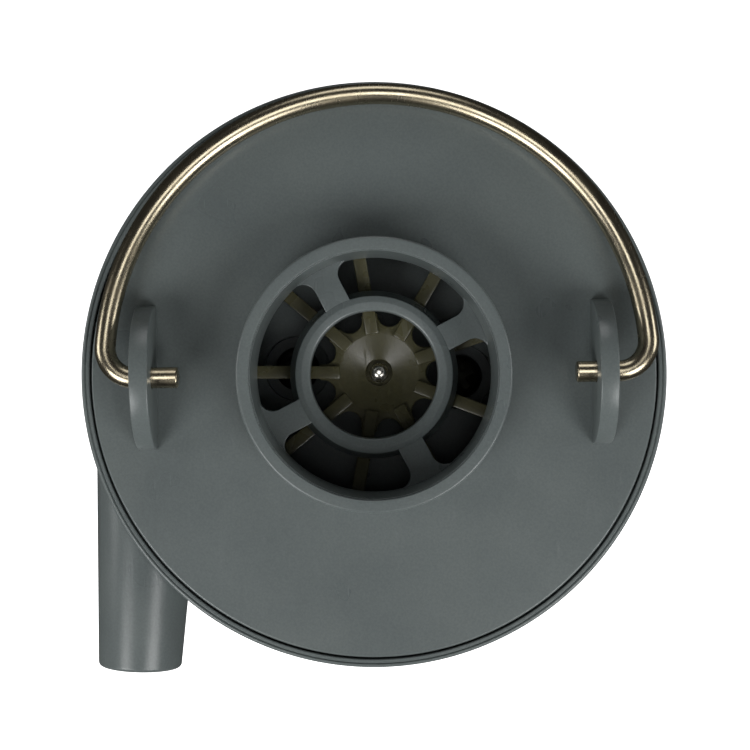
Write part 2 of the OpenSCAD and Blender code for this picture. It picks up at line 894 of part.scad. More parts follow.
// Round board, notched in front of the button's flange
module circuit_board() {
    color("#2f6b45") difference() {
        translate([0, 0, board_z]) cylinder(r = board_r, h = board_t);
        at_bosses() translate([0, 0, board_z - over])
            cylinder(r = case_screw_r + slip_gap, h = board_t + 2 * over);
        at_motor() for (s = [-1, 1]) translate([s * terminal_side, 0, board_z])
            cube([terminal_t + 2 * slip_gap, terminal_w + 2 * slip_gap, 2 * board_t + over],
                center = true);
        lamp_pin_places() translate([0, 0, board_z - over])
            cylinder(r = pin_r + slip_gap, h = board_t + 2 * over);
        rotate([0, 0, button_turn])
            translate([board_notch_x, -board_notch_w / 2, board_z - over])
                cube([board_r, board_notch_w, board_t + 2 * over]);
    }
}

// Drawn shell with its contact tongue, open to the right
module charge_socket() {
    color("#c9c9c5") translate([socket_front - socket_l, 0, socket_z]) difference() {
        stadium(socket_l, socket_w, socket_h);
        translate([socket_back_t, 0, 0])
            stadium(socket_l, socket_w - 2 * socket_t, socket_h - 2 * socket_t);
    }
    color("#2b2b2d") translate([socket_front - socket_l + socket_t,
        -socket_tongue_w / 2, socket_z - socket_tongue_t / 2])
        cube([socket_tongue_l, socket_tongue_w, socket_tongue_t]);
}

// Switch case, with a well that the plunger sinks in
module tact_switch() {
    well_x = plunger_end - plunger_l - button_travel - slip_gap;
    color("#2b2b2d") difference() {
        rotate([0, 0, button_turn])
            translate([switch_front - switch_t, -switch_w / 2, board_top_z])
                cube([switch_t, switch_w, switch_h]);
        facing(button_turn, button_z) translate([0, 0, well_x])
            cylinder(r = plunger_r + slip_gap, h = plunger_l + over);
    }
}

module switch_plunger() {
    color("#d9d4c4") facing(button_turn, button_z)
        translate([0, 0, plunger_end - plunger_l]) cylinder(r = plunger_r, h = plunger_l);
}

// Button cap with an inner flange and a stem, dished for the finger
module power_button() {
    cap_l = button_face - flange_out;
    color("#505657") facing(button_turn, button_z) difference() {
        union() {
            translate([0, 0, plunger_end]) cylinder(r = stem_r, h = flange_out - plunger_end);
            translate([0, 0, flange_out - flange_t]) cylinder(r = flange_r, h = flange_t);
            translate([0, 0, flange_out - sink]) rotate_extrude()
                round_end_2d(button_r, cap_l + sink, button_edge);
        }
        translate([0, 0, button_face - button_dish])
            cylinder(r1 = button_r / 2, r2 = button_r - button_edge, h = button_dish);
    }
}

// Rubber cover flush with the body, on two pins, with a tongue in the port
module port_cover() {
    color("#454b4c") {
        flap_shell(0);
        at_flap_axis() {
            cylinder(r = knuckle_r, h = knuckle_l, center = true);
            cylinder(r = flap_pin_r, h = flap_h + 2 * flap_pin_l, center = true);
        }
        translate([flap_in_r - tongue_l, 0, socket_z])
            stadium(tongue_l + sink, tongue_w, tongue_h);
    }
}

module lamp_tray() {
    color("#e8e8e4") difference() {
        union() {
            translate([0, 0, tray_z]) cylinder(r = case_r - slip_gap, h = tray_t);
            at_bosses() translate([0, 0, tray_z]) cylinder(r = boss_r - sink, h = tray_t + stand_h);
        }
        at_bosses() translate([0, 0, tray_z - over])
            cylinder(r = case_screw_r + slip_gap, h = tray_t + stand_h + 2 * over);
        lamp_pin_places() translate([0, 0, tray_z - over])
            cylinder(r = pin_r + slip_gap, h = tray_t + 2 * over);
    }
}

module lamp_board() {
    color("#f0f0ec") difference() {
        translate([0, 0, chip_board_z]) cylinder(r = chip_board_r, h = chip_board_t);
        lamp_pin_places() translate([0, 0, chip_board_z - over])
            cylinder(r = pin_r + slip_gap, h = chip_board_t + 2 * over);
    }
}

module lamp_chips() {
    color("#f3e6a2") around(chip_n)
        translate([chip_ring_r - chip_w / 2, -chip_l / 2, chip_board_z - chip_t])
            cube([chip_w, chip_l, chip_t]);
}

module lamp_pin_places() {
    for (i = [0 : pin_n - 1])
        translate([0, (i - (pin_n - 1) / 2) * pin_pitch, 0]) children();
}

module lamp_pins() {
    pin_z = chip_board_z - pin_r;
    color("#c8b27a") lamp_pin_places() translate([0, 0, pin_z])
        cylinder(r = pin_r, h = board_top_z + pin_r - pin_z);
}

module lens() {
    color("#f4f3ee") translate([0, 0, lens_z]) cylinder(r = lens_r - lens_seat_gap, h = lens_t);
}

// Half outline of the foot ring, with its beaded lip and the seat of the lens
module foot_ring_2d() {
    lip_out = case_r - slip_gap;
    difference() {
        union() {
            translate([0, seam_z]) mirror([0, 1]) round_end_2d(foot_r, seam_z, foot_round);
            square([lip_out, tray_z]);
            translate([lip_out, seam_z + lip_h / 2]) circle(r = bead_r);
        }
        square([foot_in_r, tray_z + over]);
        translate([0, lens_flange]) square([lens_r, lens_t + 2 * glue_gap]);
        translate([0, lens_flange]) square([lip_out - lip_t, tray_z]);
    }
}

// Ring that snaps into the body; its lip is open where the case screws' heads lie
module foot_ring() {
    lip_end = case_r - slip_gap + bead_r + sink;
    color(plastic) difference() {
        rotate_extrude() foot_ring_2d();
        for (a = boss_turns) rotate([0, 0, a - head_arc / 2])
            translate([0, 0, tray_z - case_head_h - slip_gap]) rotate_extrude(angle = head_arc)
                translate([boss_ring_r, 0])
                    square([lip_end - boss_ring_r, case_head_h + slip_gap + over]);
    }
}

housing();
intake_cover();
bail();
impeller();
motor_shaft();
motor_can();
motor_end_bell();
motor_magnets();
armature_core();
armature_windings();
commutator();
commutator_sleeve();
front_bush();
rear_bush();
motor_brushes();
motor_terminals();
motor_screws();
battery_cell(0);  // battery_cell_1
battery_cell(1);  // battery_cell_2
battery_cell(2);  // battery_cell_3
battery_cell(3);  // battery_cell_4
cell_straps();
cell_pads();
circuit_board();
charge_socket();
tact_switch();
switch_plunger();
power_button();
port_cover();
lamp_tray();
lamp_board();
lamp_chips();
lamp_pins();
case_screws();
lens();
foot_ring();
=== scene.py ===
import json
import math

import bmesh
import bpy
from mathutils import Matrix, Vector


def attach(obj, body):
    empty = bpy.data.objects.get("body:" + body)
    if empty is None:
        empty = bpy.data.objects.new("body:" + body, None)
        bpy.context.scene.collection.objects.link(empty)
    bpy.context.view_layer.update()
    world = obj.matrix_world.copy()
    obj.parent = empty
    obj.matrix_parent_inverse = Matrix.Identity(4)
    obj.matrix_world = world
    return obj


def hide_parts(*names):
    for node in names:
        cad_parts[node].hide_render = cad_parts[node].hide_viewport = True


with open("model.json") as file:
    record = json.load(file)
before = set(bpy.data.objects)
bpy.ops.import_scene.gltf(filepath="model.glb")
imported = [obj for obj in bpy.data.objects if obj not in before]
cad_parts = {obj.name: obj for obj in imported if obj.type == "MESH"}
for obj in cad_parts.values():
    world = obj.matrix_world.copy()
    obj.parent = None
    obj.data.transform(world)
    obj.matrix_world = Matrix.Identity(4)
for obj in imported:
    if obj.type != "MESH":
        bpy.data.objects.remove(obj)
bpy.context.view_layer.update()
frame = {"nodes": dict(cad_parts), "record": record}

mm = 0.001  # every size below is in millimetres, the scene is in metres
past = 1  # how far a cutting shape runs past the face that it cuts


def filleted(points, arcSteps=6):
    # points are (x, y) or (x, y, radius); a corner with a radius becomes an arc
    outline = []
    for i, point in enumerate(points):
        here = Vector(point[:2])
        radius = point[2] if len(point) > 2 else 0
        if radius == 0:
            outline.append(tuple(here))
            continue
        toLast = (Vector(points[i - 1][:2]) - here).normalized()
        toNext = (Vector(points[(i + 1) % len(points)][:2]) - here).normalized()
        half = toLast.angle(toNext) / 2
        centre = here + (toLast + toNext).normalized() * radius / math.sin(half)
        start = here + toLast * radius / math.tan(half) - centre
        sweep = math.pi - 2 * half
        side = 1 if start.x * toLast.y - start.y * toLast.x < 0 else -1
        for step in range(arcSteps + 1):
            turn = side * sweep * step / arcSteps
            outline.append((centre.x + start.x * math.cos(turn) - start.y * math.sin(turn),
                            centre.y + start.x * math.sin(turn) + start.y * math.cos(turn)))
    return outline


def turned(points, steps=192, arcSteps=6):
    # an outline of (radius, height) spun round the Z axis
    shape = bmesh.new()
    outline = filleted(points, arcSteps)
    verts = [shape.verts.new((r * mm, 0, z * mm)) for r, z in outline]
    edges = [shape.edges.new(pair) for pair in zip(verts, verts[1:] + verts[:1])]
    bmesh.ops.spin(shape, geom=verts + edges, cent=(0, 0, 0), axis=(0, 0, 1),
                   angle=2 * math.pi, steps=steps, use_merge=True)
    bmesh.ops.remove_doubles(shape, verts=shape.verts, dist=1e-6)
    onAxis = [e for e in shape.edges if not e.link_faces]
    bmesh.ops.delete(shape, geom=onAxis, context="EDGES")
    bmesh.ops.recalc_face_normals(shape, faces=shape.faces)
    return shape


def broken(shape, edges, radius, segments):
    # rounds edges of a shape
    bmesh.ops.bevel(shape, geom=edges, offset=radius * mm, offset_type="OFFSET", affect="EDGES",
                    segments=segments, profile=0.5, material=-1, clamp_overlap=True)


def extruded(outline, depth, edge=0.0):
    # a flat outline in XY pushed up by depth, with its sharp edges broken
    shape = bmesh.new()
    base = shape.faces.new([shape.verts.new((x * mm, y * mm, 0)) for x, y in outline])
    top = bmesh.ops.extrude_face_region(shape, geom=[base])
    moved = [v for v in top["geom"] if isinstance(v, bmesh.types.BMVert)]
    bmesh.ops.translate(shape, verts=moved, vec=(0, 0, depth * mm))
    bmesh.ops.recalc_face_normals(shape, faces=shape.faces)
    if edge:
        sharp = [e for e in shape.edges if e.calc_face_angle(0) > math.radians(35)]
        broken(shape, sharp, edge, segments=3)
    return shape


def block(size, centre, edge):
    shape = bmesh.new()
    bmesh.ops.create_cube(shape, size=1)
    bmesh.ops.scale(shape, vec=[s * mm for s in size], verts=shape.verts)
    bmesh.ops.translate(shape, vec=[c * mm for c in centre], verts=shape.verts)
    broken(shape, shape.edges[:], edge, segments=2)
    return shape


def placed(shape, matrix):
    bmesh.ops.transform(shape, matrix=matrix, verts=shape.verts)
    if matrix.determinant() < 0:
        bmesh.ops.recalc_face_normals(shape, faces=shape.faces)
    return shape


def turnedAbout(degrees, axis):
    return Matrix.Rotation(math.radians(degrees), 4, axis)


def movedBy(x, y, z):
    return Matrix.Translation((x * mm, y * mm, z * mm))


def swept(points, start, end, steps):
    # a closed outline of (radius, height) carried round the Z axis from start to end, in degrees
    shape = bmesh.new()
    section = [shape.verts.new((r * mm, 0, z * mm)) for r, z in points]
    bmesh.ops.spin(shape, geom=[shape.faces.new(section)] + shape.edges[:] + section,
                   cent=(0, 0, 0), axis=(0, 0, 1), angle=math.radians(end - start), steps=steps)
    bmesh.ops.recalc_face_normals(shape, faces=shape.faces)
    return placed(shape, turnedAbout(start, "Z"))


def arc(radius, start, end, steps, x=0, y=0):
    # points of an arc round (x, y), its angles in radians
    turns = (start + (end - start) * i / steps for i in range(steps + 1))
    return [(x + radius * math.cos(t), y + radius * math.sin(t)) for t in turns]


def carved(shape, tools):
    # tools are (operation, shape) pairs, applied to shape one after the other
    helpers = []
    for part in [shape] + [tool for operation, tool in tools]:
        mesh = bpy.data.meshes.new("carving")
        part.to_mesh(mesh)
        part.free()
        helpers.append(bpy.data.objects.new("carving", mesh))
        bpy.context.collection.objects.link(helpers[-1])
    for (operation, tool), helper in zip(tools, helpers[1:]):
        step = helpers[0].modifiers.new(operation, "BOOLEAN")
        step.operation = operation
        step.object = helper
        step.solver = "EXACT"
    state = bpy.context.evaluated_depsgraph_get()
    result = bmesh.new()
    result.from_mesh(helpers[0].evaluated_get(state).to_mesh())
    for helper in helpers:
        bpy.data.objects.remove(helper)
    return result


def piece(name, shapes, material, body, node):
    # one object from a list of shapes, riding on its CAD body in place of a CAD node
    mesh = bpy.data.meshes.new(name)
    whole = bmesh.new()
    for shape in shapes:
        part = bpy.data.meshes.new("part")
        shape.to_mesh(part)
        shape.free()
        whole.from_mesh(part)
        bpy.data.meshes.remove(part)
    whole.to_mesh(mesh)
    whole.free()
    mesh.shade_smooth()
    mesh.set_sharp_from_angle(angle=math.radians(32))
    mesh.materials.append(material)
    made = bpy.data.objects.new(name, mesh)
    bpy.context.collection.objects.link(made)
    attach(made, body)
    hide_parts(node)


def linear(hexColour):
    # sRGB hex to the linear colour that a socket takes
    channels = [int(hexColour[i:i + 2], 16) / 255 for i in (1, 3, 5)]
    return [c / 12.92 if c <= 0.04045 else ((c + 0.055) / 1.055) ** 2.4 for c in channels] + [1]


def addNode(tree, kind, inputs=None, **settings):
    # a shader node with its settings, and its inputs set or linked
    node = tree.nodes.new("ShaderNode" + kind)
    for key, value in settings.items():
        setattr(node, key, value)
    for key, value in (inputs or {}).items():
        if isinstance(value, bpy.types.NodeSocket):
            tree.links.new(value, node.inputs[key])
        else:
            node.inputs[key].default_value = value
    return node


def makeMaterial(name, look):
    # sizes in look are millimetres of the real surface
    material = bpy.data.materials.new(name)
    material.use_nodes = True
    tree = material.node_tree
    tree.nodes.clear()
    place = addNode(tree, "TexCoord").outputs["Object"]
    whole = addNode(tree, "Mapping", {"Vector": place}).outputs[0]
    drawn = addNode(tree, "Mapping", {"Vector": place, "Scale": look.get("stretch", (1, 1, 1)),
                                      "Rotation": (0.2, 0.1, 0.5)}).outputs[0]
    blotch = addNode(tree, "TexNoise", {"Vector": whole, "Scale": 1 / (look["blotch"] * mm),
                                        "Detail": 3.0}).outputs[0]
    grain = addNode(tree, "TexNoise", {"Vector": drawn, "Scale": 1 / (look["grain"] * mm),
                                       "Detail": 2.0, "Roughness": 0.6}).outputs[0]
    # scuffs are long, thin and a little coarser than the grain
    along = addNode(tree, "Mapping", {"Vector": place, "Scale": (1, 0.12, 0.4),
                                      "Rotation": (0.3, 0.2, 0.9)}).outputs[0]
    scuff = addNode(tree, "TexNoise", {"Vector": along, "Scale": 1 / (look["grain"] * 1.7 * mm),
                                       "Detail": 1.0}).outputs[0]
    scuffed = addNode(tree, "MapRange", {"Value": scuff, "From Min": 0.66, "From Max": 0.74,
                                         "To Max": look.get("wear", 0.25)}).outputs[0]
    shade = addNode(tree, "MapRange", {"Value": blotch, "From Min": 0.3, "From Max": 0.7}).outputs[0]
    base = addNode(tree, "Mix", {"Factor": shade, "A": linear(look["colour"]),
                                 "B": linear(look["other"])}, data_type="RGBA")
    speckle = addNode(tree, "MapRange", {"Value": grain, "From Min": 0.35, "From Max": 0.65,
                                         "To Min": 1 - look["speckle"],
                                         "To Max": 1 + look["speckle"]}).outputs[0]
    toned = addNode(tree, "VectorMath", {0: base.outputs[2], "Scale": speckle}, operation="SCALE")
    roughness = addNode(tree, "MapRange", {"Value": blotch, "From Min": 0.25, "From Max": 0.75,
                                           "To Min": look["rough"] - look["roughSpread"],
                                           "To Max": look["rough"] + look["roughSpread"]})
    worn = addNode(tree, "Math", {0: roughness.outputs[0], 1: scuffed}, operation="ADD")
    relief = addNode(tree, "Bump", {"Height": grain, "Strength": 1.0,
                                    "Distance": look["relief"] * mm})
    surface = addNode(tree, "BsdfPrincipled", {
        "Base Color": toned.outputs[0], "Roughness": worn.outputs[0],
        "Normal": relief.outputs[0], "Metallic": look.get("metal", 0.0),
        "Subsurface Weight": look.get("milky", 0.0),
        "Subsurface Radius": (1.0, 0.9, 0.6), "Subsurface Scale": 1.2 * mm})
    tree.links.new(surface.outputs[0], addNode(tree, "OutputMaterial").inputs[0])
    return material


# grey-green shell moulding with a fine spark-eroded grain
mouldedShell = makeMaterial("mouldedShell", {
    "colour": "#5d6464", "other": "#626968", "blotch": 9, "grain": 0.22, "speckle": 0.07,
    "rough": 0.3, "roughSpread": 0.05, "relief": 0.008, "wear": 0.14})
# olive-ivory nylon, injection moulded and left natural; its colour is darkened far below ivory as
# painted shade of the deep chamber the impeller sits in
shadeDarkenedNylon = makeMaterial("shadeDarkenedNylon", {
    "colour": "#514f38", "other": "#474531", "blotch": 3, "grain": 0.3, "speckle": 0.07,
    "rough": 0.3, "roughSpread": 0.08, "relief": 0.008, "milky": 0.3})
# drawn wire under bright nickel
nickelWire = makeMaterial("nickelWire", {
    "colour": "#b3a993", "other": "#a0967f", "blotch": 2.5, "grain": 0.1, "speckle": 0.08,
    "rough": 0.26, "roughSpread": 0.05, "relief": 0.003, "metal": 1.0, "wear": 0.05})
# pressed steel screw with a dull zinc coat
zincScrew = makeMaterial("zincScrew", {
    "colour": "#76746c", "other": "#605e57", "blotch": 1.2, "grain": 0.12, "speckle": 0.1,
    "rough": 0.46, "roughSpread": 0.1, "relief": 0.006, "metal": 1.0})
# ground steel of the shaft
groundSteel = makeMaterial("groundSteel", {
    "colour": "#cfccc4", "other": "#bdbab2", "blotch": 1, "grain": 0.05, "speckle": 0.05,
    "rough": 0.25, "roughSpread": 0.05, "relief": 0.002, "metal": 1.0, "stretch": (1, 1, 8)})
# softer plastic of the button cap
buttonPlastic = makeMaterial("buttonCap", {
    "colour": "#4c5253", "other": "#474d4e", "blotch": 4, "grain": 0.18, "speckle": 0.05,
    "rough": 0.52, "roughSpread": 0.05, "relief": 0.01})
# silicone rubber of the port cover
siliconeCover = makeMaterial("siliconeCover", {
    "colour": "#3f4546", "other": "#393f40", "blotch": 3, "grain": 0.25, "speckle": 0.05,
    "rough": 0.68, "roughSpread": 0.05, "relief": 0.012})
# frosted polycarbonate of the lamp's lens
frostedLens = makeMaterial("frostedLens", {
    "colour": "#efeee8", "other": "#e8e7df", "blotch": 6, "grain": 0.3, "speckle": 0.015,
    "rough": 0.5, "roughSpread": 0.05, "relief": 0.008, "milky": 0.6})
print("materials made")

# body moulding: wall, rim and chamber turned in one, with the nozzle joined on
body = {"rim": 28.5, "foot": 28.15, "seam": 6, "face": 58, "ledge": 56, "floor": 47, "under": 44.6,
        "rimInside": 27.7, "chamber": 26.6, "case": 26.35, "bush": 3.15,
        "caseEdge": 0.3, "seamEdge": 0.18, "rimEdge": 0.28, "floorEdge": 0.8,
        "chamfer": 0.07, "chamferPast": 0.03}
groove = {"radius": 28.08, "half": 0.1, "depth": 0.14, "edge": 0.03}  # fine line in the rim's face
blank = turned([
    (body["bush"], body["under"]), (body["case"], body["under"], body["caseEdge"]),
    (body["case"], body["seam"]), (body["foot"], body["seam"], body["seamEdge"]),
    (body["rim"], body["face"], body["rimEdge"]),
    (groove["radius"] + groove["half"], body["face"], groove["edge"]),
    (groove["radius"], body["face"] - groove["depth"]),
    (groove["radius"] - groove["half"], body["face"], groove["edge"]),
    (body["bush"], body["face"])], steps=256)
chamferOut = body["rimInside"] + body["chamfer"] + body["chamferPast"]
chamber = turned([
    (0, body["floor"]), (body["chamber"], body["floor"], body["floorEdge"]),
    (body["chamber"], body["ledge"]), (body["rimInside"], body["ledge"]),
    (body["rimInside"], body["face"] - body["chamfer"]),
    (chamferOut, body["face"] + body["chamferPast"]), (chamferOut, body["face"] + past),
    (0, body["face"] + past)], steps=256)

nozzle = {"side": 24.1, "reach": 29.1, "height": 51.5, "lean": 3.4, "tip": 4.15, "root": 5.52,
          "length": 26.1, "bore": 3.0, "edge": 0.45, "chamfer": 0.35}
nozzleAxis = (movedBy(-nozzle["side"], -nozzle["reach"], nozzle["height"])
              @ turnedAbout(-nozzle["lean"], "Z") @ turnedAbout(90, "X"))
nozzleCone = placed(turned([
    (0, -nozzle["length"]), (nozzle["root"], -nozzle["length"]),
    (nozzle["tip"], 0, nozzle["edge"]), (0, 0)], steps=96, arcSteps=8), nozzleAxis)
nozzleBore = placed(turned([
    (0, -nozzle["length"]), (nozzle["bore"], -nozzle["length"]),
    (nozzle["bore"], -nozzle["chamfer"]), (nozzle["bore"] + nozzle["chamfer"] + past, past),
    (0, past)], steps=96), nozzleAxis)

motor = {"x": 0.5, "y": 0.2, "turn": -3.6, "pitch": 17, "counterbore": 3.4, "depth": 1,
         "hole": 1.45, "corner": 0.15, "cutFrom": 44}
motorAxis = movedBy(motor["x"], motor["y"], 0) @ turnedAbout(motor["turn"], "Z")
seat = body["floor"] - motor["depth"]
counterbores = [placed(turned([
    (0, motor["cutFrom"]), (motor["hole"], motor["cutFrom"]), (motor["hole"], seat),
    (motor["counterbore"], seat, motor["corner"]), (motor["counterbore"], body["floor"]),
    (motor["counterbore"] + past, body["floor"] + past), (0, body["floor"] + past)], steps=96),
    motorAxis @ movedBy(side * motor["pitch"] / 2, 0, 0)) for side in (-1, 1)]

button = {"turn": -50, "height": 14.3, "radius": 4.3, "face": 29.0, "gap": 0.15,
          "cutFrom": 20, "cutTo": 32}
buttonAxis = (turnedAbout(button["turn"], "Z") @ movedBy(0, 0, button["height"])
              @ turnedAbout(90, "Y"))
holeRadius = button["radius"] + button["gap"]
buttonHole = placed(turned([
    (0, button["cutFrom"]), (holeRadius, button["cutFrom"]), (holeRadius, button["cutTo"]),
    (0, button["cutTo"])], steps=96), buttonAxis)

port = {"height": 12, "coverWidth": 13.2, "coverHeight": 6.8, "gap": 0.2, "inside": 26.99,
        "outside": 30, "hingeY": 7.61, "hingeRadius": 27.4, "relief": 1.5, "slotWidth": 9.9,
        "slotHeight": 4.2, "slotCorner": 2.05, "slotFrom": 15, "slotDepth": 20}
low = port["height"] - (port["coverHeight"] / 2 + port["gap"])
high = port["height"] + (port["coverHeight"] / 2 + port["gap"])
freeEnd = port["hingeY"] - port["coverWidth"] - port["gap"]
recess = swept([(port["inside"], low), (port["outside"], low), (port["outside"], high),
                (port["inside"], high)],
               math.degrees(math.asin(freeEnd / port["hingeRadius"])),
               math.degrees(math.asin((port["hingeY"] + port["relief"]) / port["hingeRadius"])),
               steps=24)
slotOutline = filleted([(a * port["slotWidth"] / 2, b * port["slotHeight"] / 2, port["slotCorner"])
                        for a, b in ((-1, -1), (1, -1), (1, 1), (-1, 1))])
slot = placed(extruded(slotOutline, port["slotDepth"]), turnedAbout(90, "Z")
              @ turnedAbout(90, "X") @ movedBy(0, port["height"], port["slotFrom"]))
cuts = [("DIFFERENCE", tool) for tool in [chamber, nozzleBore] + counterbores
        + [buttonHole, recess, slot]]
housing = carved(blank, [("UNION", nozzleCone)] + cuts)
piece("housingMoulding", [housing], mouldedShell, "pump_body", "housing")
print("body moulding made")

# intake cover: disc and collar turned in one, ears, ring and spokes of the grille
cover = {"radius": 27.5, "under": 56, "face": 58, "collar": 13, "top": 64, "mouth": 11.65,
         "bore": 11.5, "grille": 57.2, "underEdge": 0.1, "rimEdge": 0.24, "collarRoot": 0.35,
         "collarEdge": 0.28}
step = {"width": 0.12, "depth": 0.3, "edge": 0.08, "root": 0.04}  # shallow step in the mouth
disc = turned([
    (cover["bore"], cover["under"]), (cover["radius"], cover["under"], cover["underEdge"]),
    (cover["radius"], cover["face"], cover["rimEdge"]),
    (cover["collar"], cover["face"], cover["collarRoot"]),
    (cover["collar"], cover["top"], cover["collarEdge"]),
    (cover["mouth"] + step["width"], cover["top"], step["edge"]),
    (cover["mouth"] + step["width"], cover["top"] - step["depth"]),
    (cover["mouth"], cover["top"] - step["depth"], step["root"]),
    (cover["bore"], cover["grille"])], steps=256)

grille = {"ring": 7.75, "hole": 6.25, "skirt": 8.35, "drop": 55.3, "skirtTop": 56.6, "crown": 7.1,
          "rise": 0.18, "skirtEdge": 0.1, "ringEdge": 0.2, "crownEdge": 0.3}
ring = turned([
    (grille["hole"], grille["drop"], grille["skirtEdge"]),
    (grille["skirt"], grille["drop"], grille["skirtEdge"]), (grille["ring"], grille["skirtTop"]),
    (grille["ring"], cover["grille"], grille["ringEdge"]),
    (grille["crown"], cover["grille"] + grille["rise"], grille["crownEdge"]),
    (grille["hole"], cover["grille"], grille["crownEdge"])])

spoke = {"count": 4, "turn": 27, "width": 2.65, "flare": 1.4, "thick": 1.2, "edge": 0.14,
         "inner": 7.45, "flareIn": 0.05, "rootIn": 0.2}
side = spoke["width"] / 2
flareY = side + spoke["flare"]
flareX = math.sqrt((cover["bore"] - spoke["flare"] + spoke["flareIn"]) ** 2 - flareY ** 2)
meet = math.atan2(flareY, flareX)
flareArc = arc(spoke["flare"], -math.pi / 2, meet, 14, flareX, flareY)
rootR = cover["bore"] + spoke["rootIn"]
rootArc = [(rootR * math.cos(meet * share), rootR * math.sin(meet * share))
           for share in (1, 0.75, 0.5, 0.25, 1 / 12)]
upper = [(spoke["inner"], side)] + flareArc + rootArc
spokeOutline = upper + [(x, -y) for x, y in reversed(upper)]
spokes = [placed(extruded(spokeOutline, spoke["thick"], spoke["edge"]),
                 turnedAbout(spoke["turn"] + i * 90, "Z") @ movedBy(0, 0, cover["under"]))
          for i in range(spoke["count"])]

ear = {"radius": 7, "thick": 1.75, "inner": 21.1, "pivot": 61.6, "hole": 1.07, "sunk": 0.4,
       "edge": 0.13, "drill": 30}
earOutline = [(ear["radius"], -ear["sunk"])] + arc(ear["radius"], 0, math.pi, 64)
earOutline.append((-ear["radius"], -ear["sunk"]))
ears = []
for start in (-ear["inner"] - ear["thick"], ear["inner"]):
    plate = placed(extruded(earOutline, ear["thick"], ear["edge"]),
                   movedBy(start, 0, cover["face"]) @ turnedAbout(90, "Z") @ turnedAbout(90, "X"))
    drill = placed(turned([(0, -ear["drill"]), (ear["hole"], -ear["drill"]),
                           (ear["hole"], ear["drill"]), (0, ear["drill"])], steps=48),
                   movedBy(0, 0, ear["pivot"]) @ turnedAbout(90, "Y"))
    ears.append(carved(plate, [("DIFFERENCE", drill)]))
piece("coverMoulding", [disc, ring] + spokes + ears, mouldedShell, "pump_body", "intake_cover")
print("intake cover made")

# bail: one length of wire, swept through its straight ends, corners and bow
bail = {"wire": 1, "bow": 25.9, "bend": 2.9, "back": 1.3, "end": 18.9, "slide": 0.3, "tilt": 5.23,
        "endEdge": 0.2, "endSteps": 6, "bendSteps": 24, "bowSteps": 160}
cornerX = math.sqrt((bail["bow"] - bail["bend"]) ** 2 - (bail["bend"] - bail["back"]) ** 2)
cornerTurn = math.atan2(bail["bend"] - bail["back"], cornerX)
wire = bmesh.new()
bmesh.ops.create_circle(wire, cap_ends=True, segments=32,
                        radius=(bail["wire"] - bail["endEdge"]) * mm)
placed(wire, movedBy(bail["end"], 0, 0) @ turnedAbout(90, "Y"))


def pushed(openEnd, run, grow=0.0):
    # carries the open end of the wire along X by run, and widens it by grow
    result = bmesh.ops.extrude_edge_only(wire, edges=[g for g in openEnd
                                                      if isinstance(g, bmesh.types.BMEdge)])
    verts = [g for g in result["geom"] if isinstance(g, bmesh.types.BMVert)]
    bmesh.ops.translate(wire, verts=verts, vec=(run * mm, 0, 0))
    centre = Vector((verts[0].co.x, 0, 0))
    for v in verts:
        out = v.co - centre
        v.co = centre + out * (out.length + grow * mm) / out.length
    return [g for g in result["geom"] if not isinstance(g, bmesh.types.BMFace)]


quarter = arc(bail["endEdge"], 0, math.pi / 2, bail["endSteps"])
rounding = [(x - nextX, nextY - y) for (x, y), (nextX, nextY) in zip(quarter, quarter[1:])]
straight = cornerX - bail["end"] - bail["endEdge"]
openEnd = wire.edges[:]
for run, grow in rounding:
    openEnd = pushed(openEnd, run, grow)
openEnd = pushed(openEnd, straight)
bends = ((cornerX, bail["bend"], math.pi / 2 + cornerTurn, bail["bendSteps"]),
         (0, bail["back"], math.pi - 2 * cornerTurn, bail["bowSteps"]),
         (-cornerX, bail["bend"], math.pi / 2 + cornerTurn, bail["bendSteps"]))
for x, y, angle, steps in bends:
    openEnd = bmesh.ops.spin(wire, geom=openEnd, cent=(x * mm, y * mm, 0), axis=(0, 0, 1),
                             angle=angle, steps=steps)["geom_last"]
openEnd = pushed(openEnd, straight)
for run, grow in rounding:
    openEnd = pushed(openEnd, grow, -run)
bmesh.ops.contextual_create(wire, geom=[g for g in openEnd if isinstance(g, bmesh.types.BMEdge)])
bmesh.ops.recalc_face_normals(wire, faces=wire.faces)
placed(wire, movedBy(bail["slide"], 0, ear["pivot"]) @ turnedAbout(-bail["tilt"], "X"))
piece("bailWire", [wire], nickelWire, "bail", "bail")
print("bail made")

# impeller: scalloped hub with a dished top, and straight blades
fan = {"radius": 23.8, "blades": 9, "turn": 19, "thick": 1.3, "low": 48.6, "high": 54.6,
       "eye": 8, "eyeTop": 53.6, "overlap": 0.3, "bladeEdge": 0.14}
core = {"radius": 5.95, "top": 53.15, "notch": 1.25, "edge": 0.12, "dish": 3.9, "dishEdge": 0.15,
        "bore": 0.99, "cutFrom": 47, "cutTo": 54, "step": 1.35, "stepLow": 52.0,
        "stepHigh": 52.45, "stepEdge": 0.1}
pitch = 2 * math.pi / fan["blades"]
firstBlade = fan["turn"] - motor["turn"]
notchSpan = 2 * math.asin(core["notch"] / 2 / core["radius"])
notchTurn = 2 * math.acos(core["notch"] / 2 / core["radius"])
hubOutline = []
for i in range(fan["blades"]):
    middle = math.radians(firstBlade) + (i + 0.5) * pitch
    first, last = middle - pitch + notchSpan, middle - notchSpan
    hubOutline += arc(core["radius"], first, last, 8)
    centre = Vector((core["radius"] * math.cos(middle), core["radius"] * math.sin(middle)))
    begin = Vector((core["radius"] * math.cos(last), core["radius"] * math.sin(last))) - centre
    hubOutline += [tuple(centre + Matrix.Rotation(-notchTurn * k / 14, 2) @ begin)
                   for k in range(1, 14)]
hub = placed(extruded(hubOutline, core["top"] - fan["low"], core["edge"]),
             movedBy(0, 0, fan["low"]))
